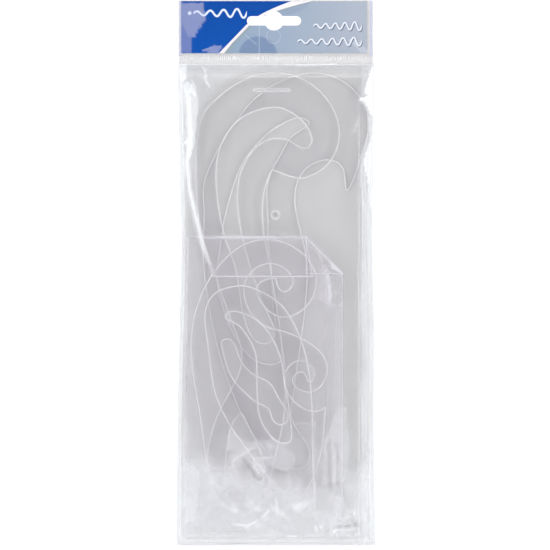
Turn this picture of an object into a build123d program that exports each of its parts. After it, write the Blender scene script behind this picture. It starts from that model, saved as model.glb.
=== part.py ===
from build123d import *
import os

# A hanging retail pack of four clear drawing templates (french curves), lying on its back.
# +Z is up, the printed header is towards +Y, and all sizes are in millimetres.
# While it is laid out, Y = 0 is the lower edge of the crimped seal and X = 0 the bag's middle.

# The four templates: length of each along the pack, and the sheet they are cut from
LARGE_HOOK_LENGTH = 264.0
LONG_HOOK_LENGTH = 238.0
SCROLL_LENGTH = 170.0
TEARDROP_LENGTH = 131.5
SHEET = 1.5                      # thickness of the clear styrene sheet
INKING_BEVEL = 0.9               # width of the bevel along every drawing edge
BEVEL_DEPTH = 0.5                # how deep that bevel goes into the sheet
CORNER_RADIUS = 1.0              # rounding of the templates' sharp corners

# Where each template's top lies. X is from the bag's middle. The two hooks lie this far under the
# outer bag's sloping top, and the two small templates this far under the crimped seal.
LARGE_HOOK_X = -2.2
LARGE_HOOK_ROOM = 1.41
LONG_HOOK_X = 24.2
LONG_HOOK_ROOM = 3.48
SCROLL_AT = (-4.7, -105.6)
TEARDROP_AT = (-21.5, -133.2)

# Marks moulded into the two hook templates, placed from each template's top
BAR_AT = (0.0, -10.8)            # a plain bar on the large hook
BAR_SIZE = (22.0, 1.8)
RING_AT = (-24.4, -85.3)         # a ring on the long hook
RING_RADIUS = 2.9
RING_LINE = 0.9
MARK_DEPTH = 0.25

# Film bags
FILM = 0.1                       # one layer of clear film
LAYER_GAP = 0.3                  # loose space between one layer and the next
FOLD_GAP = 0.1                   # space under a folded-over layer of film
WALL_FOOT = 0.15                 # film width where a sloping wall meets the layer below
WELD = 1.0                       # width of the outer bag's side and bottom welds
SIDE_SLOPE = 4.0                 # run of the outer bag's sloping side walls
TOP_SLOPE = 10.0
BOTTOM_SLOPE = 8.0
SIDE_ROOM = 1.02                 # room between the outer bag's walls and what they enclose
BOTTOM_ROOM = 4.7

INNER_WELD = 0.6
INNER_SIDE_SLOPE = 2.0
INNER_TOP_SLOPE = 1.2
INNER_BOTTOM_SLOPE = 5.0
INNER_ROOM_LEFT = 1.33           # room between the inner bag's walls and the small templates
INNER_ROOM_RIGHT = 7.63
INNER_ROOM_TOP = 1.1
INNER_ROOM_BOTTOM = 1.94
CORNER_FOLD = (19.7, 22.8)       # how much of the inner bag's corner is turned down, X and Y
FLAP_LENGTH = 24.6               # how far the inner bag's flap hangs down in front
FLAP_SIDE_ROOM = 8.4             # from the inner bag's left edge to the flap
FLAP_TAPER = (7.8, 4.2)          # its lower left corner moves in, and its lower right one out

# Header
CARD_WIDTH = 111.6
CARD_HEIGHT = 31.2
CARD_THICKNESS = 0.35
CARD_SHIFT = -1.05               # the card sits a little left of the bag's middle
CARD_SIDE_MARGIN = 0.6           # least film between the card and a side weld
CARD_TOP_MARGIN = 0.6
CARD_BOTTOM_MARGIN = 1.8         # film between the card and the crimped seal
SLOT_WIDTH = 32.5                # european hang slot
SLOT_ARM = 5.6
SLOT_ROUND_RADIUS = 5.75
SLOT_FROM_TOP = 11.8             # from the card's top edge to the slot's middle
SEAL_HEIGHT = 4.2
SEAL_THICKNESS = 0.3
RIB_PITCH = 1.2
RIB_WIDTH = 0.6
RIB_HEIGHT = 0.2

# Layers, from the table up
LONG_HOOK_Z = FILM + LAYER_GAP
LARGE_HOOK_Z = LONG_HOOK_Z + SHEET + LAYER_GAP
INNER_Z = LARGE_HOOK_Z + SHEET + LAYER_GAP
SCROLL_Z = INNER_Z + FILM + LAYER_GAP
TEARDROP_Z = SCROLL_Z + SHEET + LAYER_GAP
INNER_TOP = TEARDROP_Z + SHEET + LAYER_GAP + FILM
FLAP_Z = INNER_TOP + FOLD_GAP
CORNER_Z = FLAP_Z + FILM + FOLD_GAP
BAG_TOP = CORNER_Z + FILM + LAYER_GAP + FILM

# Outlines. Each is drawn from the middle of the template's top edge, downwards.
LARGE_HOOK_EDGE = [
    (0, -58.5), (5.5, -60.5), (17.5, -63.5), (24.5, -61.5), (36, -52), (39.5, -44), (40.5, -35),
    (38.5, -25.5), (26, -8.5), (9, -0.5), (-8.5, -1), (-33.5, -15.5), (-40.5, -23.5), (-44, -33.5),
    (-45.5, -71.5), (-44.5, -86), (-31, -130.5), (-25, -147.5), (-19.5, -162.5), (-18.5, -172),
    (-29, -197), (-38.5, -225.5), (-36, -249.5), (-29, -259), (-18.5, -263.5), (-9.5, -260),
    (0.5, -236.5), (5, -218.5), (8, -199.5), (6, -160.5), (-1.5, -113.5), (-4.5, -71.5), (0, -58.5),
]
LARGE_HOOK_CRESCENT = [
    (23.5, -40.5), (22, -35), (12, -24.5), (5, -21.5), (-2.5, -21.5), (-19, -28), (-31, -46),
    (-32.5, -73), (-26.5, -102.5), (-22, -115.5), (-13, -155.5), (-9, -160.5), (-2.5, -161.5),
    (1, -157.5), (-1, -148.5), (-16, -107), (-21, -79), (-20.5, -65.5), (-11.5, -46.5), (-4, -40.5),
    (11.5, -41), (17, -44.5), (21, -44.5),
]
LARGE_HOOK_DROP = [
    (-19, -204.5), (-23, -209), (-25.5, -218.5), (-28, -242), (-26, -253), (-18.5, -258.5),
    (-11.5, -256), (-6.5, -247), (-8, -224.5), (-13, -214.5), (-16, -207.5),
]
LONG_HOOK_EDGE = [
    (18.5, -72.5), (23, -63.5), (27, -51.5), (32, -28), (23, -10.5), (7, -1), (-0.5, 0), (-19, -4),
    (-37, -15.5), (-52, -34.5), (-65, -58.5), (-68, -69.5), (-67.5, -82.5), (-68, -97.5),
    (-66, -131.5), (-52, -188.5), (-33.5, -223.5), (-23.5, -233.5), (-14.5, -238), (-7, -237),
    (-3.5, -230.5), (-14, -208.5), (-14, -197.5), (-11, -176), (-5.5, -131.5), (-5.5, -113.5),
    (-11.5, -85), (-12.5, -74), (-5.5, -57.5), (2, -53.5), (9.5, -53), (15, -56.5), (17, -64),
    (18.5, -72.5),
]
LONG_HOOK_LEAF = [
    (-5.5, -29), (-10, -27.5), (-17, -29.5), (-26, -34.5), (-35, -43), (-42.5, -52.5), (-52, -77.5),
    (-55.5, -92), (-57.5, -106.5), (-59.5, -122), (-57, -136.5), (-46, -162.5), (-38, -171.5),
    (-28, -175), (-21.5, -173), (-20.5, -166.5), (-24, -152.5), (-26.5, -136.5), (-27, -119.5),
    (-29, -100.5), (-29.5, -82.5), (-29.5, -67), (-19, -44.5), (-12, -36),
]
# The scroll curve's edge has three runs, which meet at the corner under its lower scroll and
# at the inner ends of its two spiral slots.
SCROLL_BODY_EDGE = [
    (35.5, -97), (34, -108.5), (33, -122), (25, -147), (17.5, -158), (7, -165), (-14, -170),
    (-23, -167), (-29, -158.5), (-42, -98), (-45, -81), (-42, -38), (-27.5, -13.5), (-18, -5),
    (1, 0), (18.5, -6.5), (29, -22), (24.5, -39), (18, -44.5), (9.5, -47), (2, -44.5), (-4, -38.5),
    (-7, -31), (-5, -26), (0, -23.5), (5.5, -23.5),
]
SCROLL_UPPER_SLOT = [
    (5.5, -23.5), (6, -27.5), (9, -31), (13, -29.5), (14.5, -25), (6.5, -16), (0, -15),
    (-12.5, -23.5), (-2, -51.5), (8, -54.5), (17.5, -58), (33, -69), (36, -77), (29.5, -90),
    (22, -91.5), (14.5, -83.5), (20, -79), (23, -81.5), (24.5, -85), (26.5, -84.5),
]
SCROLL_LOWER_SLOT = [
    (26.5, -84.5), (24, -74.5), (18.5, -73), (10, -82), (11.5, -90), (16, -97), (31, -102),
    (35.5, -97),
]
SCROLL_LEAF = [
    (-27.5, -62.5), (-25, -73), (-20, -84.5), (-12.5, -92.5), (-5, -98), (1, -101.5), (3, -107.5),
    (7, -110.5), (11.5, -108.5), (11, -103.5), (6, -95), (0.5, -86), (-6.5, -82.5), (-18, -69.5),
    (-21, -62), (-25, -60),
]
TEARDROP_EDGE = [
    (45, -121), (43, -64), (31.5, -20.5), (23.5, -10), (13, -3.5), (3, 0), (-7, -1), (-15.5, -5),
    (-20, -12.5), (-19.5, -34), (-14, -67), (2.5, -96), (14, -111), (27, -125), (36.5, -131.5),
    (42.5, -129.5),
]
TEARDROP_CRESCENT = [
    (-8, -18), (-5.5, -16), (2, -17), (9.5, -20.5), (21, -35.5), (24.5, -45), (26.5, -59),
    (29, -72), (30.5, -86.5), (29.5, -93), (24.5, -93.5), (17.5, -88), (12.5, -79), (11, -68),
    (10.5, -53.5), (9.5, -39.5), (3.5, -28), (-4, -21.5),
]


# ---- templates ----

def smooth_loop(points):
    """The face inside one smooth closed curve."""
    return make_face(Spline(*points, periodic=True))


def cornered_loop(*runs):
    """The face inside smooth runs that meet at slightly rounded corners."""
    halves = [Spline(*run).trim(*half) for run in runs for half in ((0, 0.5), (0.5, 1))]
    starts = [Vector(*run[0]) for run in runs]
    face = make_face(halves)
    corners = [v for v in face.vertices() if any((Vector(v) - start).length < 0.01 for start in starts)]
    return fillet(corners, CORNER_RADIUS)


def flat_template(edge, cutouts, length):
    """A template's face at its named length, with its top at Y = 0."""
    face = edge
    for cutout in cutouts:
        face -= cutout
    box = face.bounding_box()
    return scale(Pos(0, -box.max.Y) * face, by=length / box.size.Y)


def template(face, marks=None):
    """The sheet cut to a face, with the inking bevel round each upper edge and any sunk marks."""
    sheet = extrude(face, SHEET)
    upper = sheet.faces().sort_by(Axis.Z)[-1]
    sheet = chamfer(upper.edges(), BEVEL_DEPTH, INKING_BEVEL, reference=upper)
    if marks:
        sheet -= Pos(0, 0, SHEET - MARK_DEPTH) * extrude(marks, 2 * MARK_DEPTH)
    return sheet


def large_hook_face():
    cutouts = [smooth_loop(LARGE_HOOK_CRESCENT), smooth_loop(LARGE_HOOK_DROP)]
    return flat_template(cornered_loop(LARGE_HOOK_EDGE), cutouts, LARGE_HOOK_LENGTH)


def long_hook_face():
    return flat_template(cornered_loop(LONG_HOOK_EDGE), [smooth_loop(LONG_HOOK_LEAF)], LONG_HOOK_LENGTH)


def scroll_face():
    edge = cornered_loop(SCROLL_BODY_EDGE, SCROLL_UPPER_SLOT, SCROLL_LOWER_SLOT)
    return flat_template(edge, [smooth_loop(SCROLL_LEAF)], SCROLL_LENGTH)


def teardrop_face():
    return flat_template(smooth_loop(TEARDROP_EDGE), [smooth_loop(TEARDROP_CRESCENT)], TEARDROP_LENGTH)


def large_hook_curve():
    bar = Pos(*BAR_AT) * SlotOverall(*BAR_SIZE)
    return Pos(*LARGE_HOOK_AT, LARGE_HOOK_Z) * template(large_hook_face(), bar)


def long_hook_curve():
    ring = Pos(*RING_AT) * (Circle(RING_RADIUS) - Circle(RING_RADIUS - RING_LINE))
    return Pos(*LONG_HOOK_AT, LONG_HOOK_Z) * template(long_hook_face(), ring)


def scroll_curve():
    return Pos(*SCROLL_AT, SCROLL_Z) * template(scroll_face())


def teardrop_curve():
    return Pos(*TEARDROP_AT, TEARDROP_Z) * template(teardrop_face())


# ---- film ----

def inset(corners, distances):
    """A polygon's corners after each side, from its first corner on, is moved in by its distance.
    The corners run clockwise."""
    lines = []
    for i, a in enumerate(corners):
        b = corners[(i + 1) % len(corners)]
        along = (Vector(*b) - Vector(*a)).normalized()
        inwards = Vector(along.Y, -along.X)
        lines.append((Vector(*a) + inwards * distances[i], along))
    moved = []
    for i, (b, v) in enumerate(lines):
        a, u = lines[i - 1]
        t = ((b.X - a.X) * v.Y - (b.Y - a.Y) * v.X) / (u.X * v.Y - u.Y * v.X)
        moved.append((a.X + u.X * t, a.Y + u.Y * t))
    return moved


def plate(corners, low, high):
    return Pos(0, 0, low) * extrude(make_face(Polyline(*corners, close=True)), high - low)


def rectangle(left, right, bottom, top):
    """A rectangle's corners, clockwise: its sides are the top, right, bottom and left ones."""
    return [(left, top), (right, top), (right, bottom), (left, bottom)]


def frustum(base, top, low, high):
    faces = [Pos(0, 0, z) * make_face(Polyline(*c, close=True)) for c, z in ((base, low), (top, high))]
    return loft(faces, ruled=True)


def film_tray(base, slopes, low, high):
    """A film that rises from the layer below it along every side, to a flat top."""
    top = inset(base, slopes)
    foot = [WALL_FOOT] * len(base)
    hollow = frustum(inset(base, foot), inset(top, foot), low, high - FILM)
    return frustum(base, top, low, high) - hollow


# ---- layout: the bags are cut to what lies in them ----

def wall_run(slope, low, high, height):
    """How far in from its foot the inner face of a tray's sloping wall is, at a height."""
    return WALL_FOOT + slope * (height - low) / (high - FILM - low)


def reach(face, place):
    """How far a placed face reaches, as (left, right, bottom, top)."""
    box = (Pos(*place) * face).bounding_box()
    return (box.min.X, box.max.X, box.min.Y, box.max.Y)


LEFT, RIGHT, BOTTOM, TOP = range(4)
OUTWARDS = (-1, 1, -1, 1)


def wall_at(side, contents, slope, low, high, room):
    """Where the foot of a tray's wall stands, so that it clears its contents by some room.
    Contents are pairs of a reach and the height of its top."""
    out = OUTWARDS[side]
    return out * (room + max(out * r[side] + wall_run(slope, low, high, top) for r, top in contents))


LARGE_HOOK_TOP = LARGE_HOOK_Z + SHEET
LONG_HOOK_TOP = LONG_HOOK_Z + SHEET
LARGE_HOOK_AT = (LARGE_HOOK_X, -LARGE_HOOK_ROOM - wall_run(TOP_SLOPE, FILM, BAG_TOP, LARGE_HOOK_TOP))
LONG_HOOK_AT = (LONG_HOOK_X, -LONG_HOOK_ROOM - wall_run(TOP_SLOPE, FILM, BAG_TOP, LONG_HOOK_TOP))

SMALL_TEMPLATES = [(reach(scroll_face(), SCROLL_AT), SCROLL_Z + SHEET),
                   (reach(teardrop_face(), TEARDROP_AT), TEARDROP_Z + SHEET)]
INNER_TRAY = (INNER_Z + FILM, INNER_TOP)
INNER_LEFT = wall_at(LEFT, SMALL_TEMPLATES, INNER_SIDE_SLOPE, *INNER_TRAY, INNER_WELD + INNER_ROOM_LEFT)
INNER_RIGHT = wall_at(RIGHT, SMALL_TEMPLATES, INNER_SIDE_SLOPE, *INNER_TRAY, INNER_WELD + INNER_ROOM_RIGHT)
INNER_BOTTOM = wall_at(BOTTOM, SMALL_TEMPLATES, INNER_BOTTOM_SLOPE, *INNER_TRAY,
                       INNER_WELD + INNER_ROOM_BOTTOM)
INNER_CREST = wall_at(TOP, SMALL_TEMPLATES, INNER_TOP_SLOPE, *INNER_TRAY, INNER_ROOM_TOP)
FOLD_START = (INNER_RIGHT - CORNER_FOLD[0], INNER_CREST)
FOLD_END = (INNER_RIGHT, INNER_CREST - CORNER_FOLD[1])

INNER_SIDE_TOP = INNER_WELD + INNER_SIDE_SLOPE         # where the inner bag's flat top begins
LOOSE_IN_BAG = [
    (reach(large_hook_face(), LARGE_HOOK_AT), LARGE_HOOK_TOP),
    (reach(long_hook_face(), LONG_HOOK_AT), LONG_HOOK_TOP),
    ((INNER_LEFT, INNER_RIGHT, INNER_BOTTOM, INNER_CREST), INNER_Z + 2 * FILM),
    ((INNER_LEFT + INNER_SIDE_TOP, INNER_RIGHT - INNER_SIDE_TOP,
      INNER_BOTTOM + INNER_WELD + INNER_BOTTOM_SLOPE, INNER_CREST), INNER_TOP),
]
BAG_TRAY = (FILM, BAG_TOP)
CARD_REACH = abs(CARD_SHIFT) + CARD_WIDTH / 2 + CARD_SIDE_MARGIN
FILM_EDGE = max(CARD_REACH, -wall_at(LEFT, LOOSE_IN_BAG, SIDE_SLOPE, *BAG_TRAY, SIDE_ROOM),
                wall_at(RIGHT, LOOSE_IN_BAG, SIDE_SLOPE, *BAG_TRAY, SIDE_ROOM))
HALF_WIDTH = FILM_EDGE + WELD
BAG_BOTTOM = wall_at(BOTTOM, LOOSE_IN_BAG, BOTTOM_SLOPE, *BAG_TRAY, WELD + BOTTOM_ROOM)
SLEEVE_BOTTOM = SEAL_HEIGHT
CARD_BOTTOM = SLEEVE_BOTTOM + CARD_BOTTOM_MARGIN
CARD_TOP = CARD_BOTTOM + CARD_HEIGHT
BAG_CREST = CARD_TOP + CARD_TOP_MARGIN
SLEEVE_TOP = FILM + CARD_THICKNESS + FILM


# ---- header ----

def hang_slot():
    arms = SlotOverall(SLOT_WIDTH, SLOT_ARM)
    hole = extrude(arms + Circle(SLOT_ROUND_RADIUS), 2 * SLEEVE_TOP, both=True)
    return Pos(CARD_SHIFT, CARD_TOP - SLOT_FROM_TOP) * hole


def header_card():
    half = CARD_WIDTH / 2
    card = rectangle(CARD_SHIFT - half, CARD_SHIFT + half, CARD_BOTTOM, CARD_TOP)
    return plate(card, FILM, FILM + CARD_THICKNESS) - hang_slot()


def header_film(low):
    return plate(rectangle(-FILM_EDGE, FILM_EDGE, SLEEVE_BOTTOM, BAG_CREST), low, low + FILM) - hang_slot()


def crimp_seal():
    """The band that closes the bag: both films welded, with upright ribs pressed into them."""
    ribs = int(2 * FILM_EDGE / RIB_PITCH)
    crest = SEAL_THICKNESS + RIB_HEIGHT
    outline = [(FILM_EDGE, 0), (-FILM_EDGE, 0), (-FILM_EDGE, SEAL_THICKNESS)]
    for i in range(ribs):
        x = (i + 0.5 - ribs / 2) * RIB_PITCH - RIB_WIDTH / 2
        outline += [(x, SEAL_THICKNESS), (x, crest), (x + RIB_WIDTH, crest), (x + RIB_WIDTH, SEAL_THICKNESS)]
    outline += [(FILM_EDGE, SEAL_THICKNESS)]
    section = Plane.XZ * make_face(Polyline(*outline, close=True))
    return extrude(section, -SEAL_HEIGHT)


# ---- outer bag ----

def pouch_film_back():
    return plate(rectangle(-FILM_EDGE, FILM_EDGE, BAG_BOTTOM + WELD, 0), 0, FILM)


def pouch_film_front():
    base = rectangle(-FILM_EDGE, FILM_EDGE, BAG_BOTTOM + WELD, 0)
    return film_tray(base, [TOP_SLOPE, SIDE_SLOPE, BOTTOM_SLOPE, SIDE_SLOPE], *BAG_TRAY)


def side_weld(side):
    """A side weld, thicker beside the header card."""
    left, right = sorted((side * HALF_WIDTH, side * FILM_EDGE))
    pouch = plate(rectangle(left, right, BAG_BOTTOM, SLEEVE_BOTTOM), 0, 2 * FILM)
    return pouch + plate(rectangle(left, right, SLEEVE_BOTTOM, BAG_CREST), 0, SLEEVE_TOP)


def bottom_weld():
    return plate(rectangle(-FILM_EDGE, FILM_EDGE, BAG_BOTTOM, BAG_BOTTOM + WELD), 0, 2 * FILM)


# ---- inner bag ----
# Its sides, clockwise from the top fold: top, turned-down corner, right, bottom, left.

INNER_CORNERS = [(INNER_LEFT, INNER_CREST), FOLD_START, FOLD_END,
                 (INNER_RIGHT, INNER_BOTTOM), (INNER_LEFT, INNER_BOTTOM)]
INNER_FILM_CORNERS = inset(INNER_CORNERS, [0, 0, INNER_WELD, INNER_WELD, INNER_WELD])


def inner_film_back():
    return plate(INNER_FILM_CORNERS, INNER_Z, INNER_Z + FILM)


def inner_film_front():
    slopes = [INNER_TOP_SLOPE, INNER_TOP_SLOPE, INNER_SIDE_SLOPE, INNER_BOTTOM_SLOPE, INNER_SIDE_SLOPE]
    return film_tray(INNER_FILM_CORNERS, slopes, *INNER_TRAY)


def inner_weld():
    """The weld down both sides and along the bottom of the inner bag."""
    weld = plate(INNER_CORNERS, INNER_Z, INNER_Z + 2 * FILM)
    return weld - plate(INNER_FILM_CORNERS, INNER_Z - FILM, INNER_Z + 3 * FILM)


def inner_flap():
    """The back film's upper end, folded over the top and down the front."""
    left = INNER_LEFT + FLAP_SIDE_ROOM
    right = FOLD_START[0]
    over = INNER_CREST + FILM
    low = INNER_CREST - FLAP_LENGTH
    hanging = [(left, over), (right, over), (right + FLAP_TAPER[1], low), (left + FLAP_TAPER[0], low)]
    riser = plate(rectangle(left, right, INNER_CREST, over), INNER_Z, FLAP_Z + FILM)
    return riser + plate(hanging, FLAP_Z, FLAP_Z + FILM)


def inner_corner_fold():
    """The inner bag's corner, turned down to the front along a slanting fold."""
    start, end = Vector(*FOLD_START), Vector(*FOLD_END)
    along = (end - start).normalized()
    outwards = Vector(-along.Y, along.X) * FILM
    to_corner = Vector(INNER_RIGHT, INNER_CREST) - start
    turned = start + along * (2 * to_corner.dot(along)) - to_corner
    strip = [(v.X, v.Y) for v in (start, start + outwards, end + outwards, end)]
    corner = [(v.X, v.Y) for v in (start + outwards, end + outwards, turned)]
    return plate(strip, INNER_Z, CORNER_Z + FILM) + plate(corner, CORNER_Z, CORNER_Z + FILM)


# ---- the whole pack, by node ----

def pack_parts():
    return {
        "header_card": header_card(),
        "header_film_front": header_film(FILM + CARD_THICKNESS),
        "header_film_back": header_film(0),
        "crimp_seal": crimp_seal(),
        "pouch_film_front": pouch_film_front(),
        "pouch_film_back": pouch_film_back(),
        "side_weld_left": side_weld(-1),
        "side_weld_right": side_weld(1),
        "bottom_weld": bottom_weld(),
        "inner_film_front": inner_film_front(),
        "inner_film_back": inner_film_back(),
        "inner_weld": inner_weld(),
        "inner_flap": inner_flap(),
        "inner_corner_fold": inner_corner_fold(),
        "large_hook_curve": large_hook_curve(),
        "long_hook_curve": long_hook_curve(),
        "scroll_curve": scroll_curve(),
        "teardrop_curve": teardrop_curve(),
    }


def main():
    os.makedirs("parts", exist_ok=True)
    centred = Pos(0, -(BAG_CREST + BAG_BOTTOM) / 2, 0)
    for name, shape in pack_parts().items():
        export_step(centred * shape, f"parts/{name}.step")


if __name__ == "__main__":
    main()
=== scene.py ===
# %% [markdown]
# # A hanging pack of four clear drawing templates
#
# The pack is a film bag with a printed header card. Two large french curves lie loose in it, and two
# small ones lie in a second bag inside. Almost everything here is clear, so the looks come from three
# things: how much light each layer takes away, where its edges scatter light, and how the film folds.
# Painted highlights and painted shade on the films stand in for the light that their creases would catch.

# %% Load the fixed frame
import bmesh
import bpy
import math
import numpy as np
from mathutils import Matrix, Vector


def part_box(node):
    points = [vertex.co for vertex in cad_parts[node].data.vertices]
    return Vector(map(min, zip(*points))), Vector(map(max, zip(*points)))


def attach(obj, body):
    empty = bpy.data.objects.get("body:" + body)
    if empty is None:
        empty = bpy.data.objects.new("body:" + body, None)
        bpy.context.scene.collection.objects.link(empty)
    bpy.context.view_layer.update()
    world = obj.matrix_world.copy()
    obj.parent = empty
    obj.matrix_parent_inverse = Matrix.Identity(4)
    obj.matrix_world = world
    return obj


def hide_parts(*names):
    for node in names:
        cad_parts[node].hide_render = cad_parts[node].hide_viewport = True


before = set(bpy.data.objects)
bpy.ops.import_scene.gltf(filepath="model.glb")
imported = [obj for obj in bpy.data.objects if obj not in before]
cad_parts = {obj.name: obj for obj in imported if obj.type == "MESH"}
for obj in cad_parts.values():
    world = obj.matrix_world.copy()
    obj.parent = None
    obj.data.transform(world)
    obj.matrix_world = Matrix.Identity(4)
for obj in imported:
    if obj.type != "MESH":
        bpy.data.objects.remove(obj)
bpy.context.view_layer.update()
MM = 0.001

# %% [markdown]
# ## Places that everything is worked out from
#
# The CAD model says where each layer lies. Reading its boxes keeps the film above what it covers,
# even if a size changes.

# %% Read the places, in millimetres


def box_mm(node):
    """A CAD node's lowest and highest corner, in millimetres."""
    return [np.array(corner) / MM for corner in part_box(node)]


POUCH_LOW, POUCH_HIGH = box_mm("pouch_film_front")
SEAM_LEFT = box_mm("side_weld_left")[0][0]
SEAM_RIGHT = box_mm("side_weld_right")[1][0]
BAG_FOOT = box_mm("bottom_weld")[0][1]
BAG_CREST = box_mm("header_film_front")[1][1]
CARD_LOW, CARD_HIGH = box_mm("header_card")
INNER_LOW, INNER_HIGH = box_mm("inner_film_front")
WELD_LOW, WELD_HIGH = box_mm("inner_weld")
FLAP_LOW, FLAP_HIGH = box_mm("inner_flap")
CORNER_LOW, CORNER_HIGH = box_mm("inner_corner_fold")
FILM = 0.1  # thickness of bag film
print("front film lies at", round(POUCH_HIGH[2], 2), "mm, and the inner bag at", INNER_LOW[2].round(2))

# %% [markdown]
# ## Colours and nodes
#
# Colours are written as sRGB hex, the way a paint or print is matched, and one function turns them to
# the linear values that shaders need. One more function adds a node with its settings and its links.

# %% Colour and node helpers


def linear(hex_colour):
    """An sRGB hex colour as linear RGBA."""
    channels = [int(hex_colour[i:i + 2], 16) / 255 for i in (1, 3, 5)]
    return [c / 12.92 if c <= 0.04045 else ((c + 0.055) / 1.055) ** 2.4 for c in channels] + [1.0]


def add(tree, kind, settings=None, **inputs):
    """Adds a node. An input is named, with _ for a space, or numbered as in0, and takes a value or a link."""
    node = tree.nodes.new("ShaderNode" + kind)
    for key, value in (settings or {}).items():
        setattr(node, key, value)
    for key, value in inputs.items():
        name = int(key[2:]) if key[:2] == "in" and key[2:].isdigit() else key.replace("_", " ")
        if isinstance(value, bpy.types.NodeSocket):
            tree.links.new(value, node.inputs[name])
        else:
            node.inputs[name].default_value = value
    return node


def maths(tree, operation, a, b=0.0, c=0.0):
    return add(tree, "Math", {"operation": operation}, in0=a, in1=b, in2=c).outputs[0]


def new_material(name):
    material = bpy.data.materials.new(name)
    material.use_nodes = True
    tree = material.node_tree
    tree.nodes.clear()
    return material, tree


def finish_material(tree, shader):
    add(tree, "OutputMaterial", Surface=shader)


print("white turns to", linear("#FFFFFF"))

# %% [markdown]
# ## Polypropylene and polyethylene film
#
# Bag film is cast polypropylene: clear, glossy, and whitish wherever it is creased. A glass shader
# would bend the light at every layer and is slow in a stack this deep. A thin film hardly bends light,
# so it is better made of three simple things: a transparent shader that takes a little light away, a
# glossy one that grows towards grazing angles, and a white scatter that each film's own
# haze_and_highlight attribute turns on. That attribute is partly the film's real whitening along its
# creases and partly painted highlight where creases would catch the lamps. Where it is lowered, it is
# painted shade. The outer bag is the greyest and glossiest. The inner bag is softer polyethylene, which
# is clearer and more matt. Handled film has fine scratches, so its gloss is soft rather than mirror-like.

# %% Film material


FILM_ROUGHNESS = 0.22
FROM_BELOW = 0.35  # share of the white scatter that is lit through the film


def schlick(tree, straight_on):
    """Share of light that a clear plastic surface reflects, the same from both of its sides."""
    facing = add(tree, "LayerWeight", Blend=0.5).outputs["Facing"]
    grazing = maths(tree, "POWER", facing, 5.0)
    return maths(tree, "MULTIPLY_ADD", grazing, 1 - straight_on, straight_on)


def scatter(tree, colour):
    """White scatter that is lit from above and, through the film, from below."""
    above = add(tree, "BsdfDiffuse", Color=colour)
    below = add(tree, "BsdfTranslucent", Color=colour)
    return add(tree, "MixShader", in0=FROM_BELOW, in1=above.outputs[0], in2=below.outputs[0]).outputs[0]


def finish_film(tree, tint, milk, white, reflect, roughness):
    """tint is what one surface lets through, milk the share of it that scatters white instead."""
    clear = add(tree, "BsdfTransparent", Color=(*tint, 1.0)).outputs[0]
    hazy = add(tree, "MixShader", in0=milk, in1=clear, in2=scatter(tree, linear(white))).outputs[0]
    gloss = add(tree, "BsdfGlossy", Roughness=roughness, Color=linear("#FFFFFF")).outputs[0]
    finish_material(tree, add(tree, "MixShader", in0=schlick(tree, reflect), in1=hazy, in2=gloss).outputs[0])


def film_material(name, tint, white, reflect):
    """A film has two surfaces, and light crosses both on its way in and again on its way out."""
    material, tree = new_material(name)
    # The attribute holds crease whitening and painted highlights, and it is lowered for painted shade.
    haze_and_highlight = add(tree, "Attribute", {"attribute_name": "haze_and_highlight"}).outputs["Fac"]
    finish_film(tree, tint, haze_and_highlight, white, reflect, FILM_ROUGHNESS)
    return material


FILM_OUTER = film_material("cast_polypropylene_film", (0.918, 0.9175, 0.92), "#F8FAFD", 0.03)
FILM_SLEEVE = film_material("clear_polypropylene_sleeve", (0.945, 0.945, 0.947), "#DCE0F4", 0.004)
FILM_INNER = film_material("soft_polyethylene_film", (1.0, 0.9985, 1.0), "#F7F6FB", 0.002)
print("film materials", FILM_OUTER.name, FILM_SLEEVE.name, FILM_INNER.name)

# %% [markdown]
# ## Clear styrene
#
# The templates are moulded from clear styrene. A flat sheet shows almost nothing but a slight grey.
# What the eye reads is the edge: the inking bevel and the cut wall send light sideways, so each outline
# is a bright line. The shader finds the bevel by the direction of the surface, which needs no painting.
# Light that travels inside the sheet also leaves it close to an edge. The Bevel node rounds the normal
# near an edge, and where it differs from the true one the face is brightened. The moulded marks are
# sunk a little, so they are found by their height.

# %% Styrene material

EDGE_BAND = 0.75  # how far an edge's brightness spreads onto the flat face, in millimetres
EDGE_GLINT = 0.36  # share of the lamps' light that a bevel turns towards whoever looks down on it
EDGE_GAIN, EDGE_MOST = 30.0, 0.9  # how fast the brightness grows as the normal rounds off, and its limit
FLAT = 0.97  # a face is flat if its normal's upright part is more than this
MARK_BAND = 0.4  # height in which a sunk mark's floor lies, in millimetres


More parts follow.
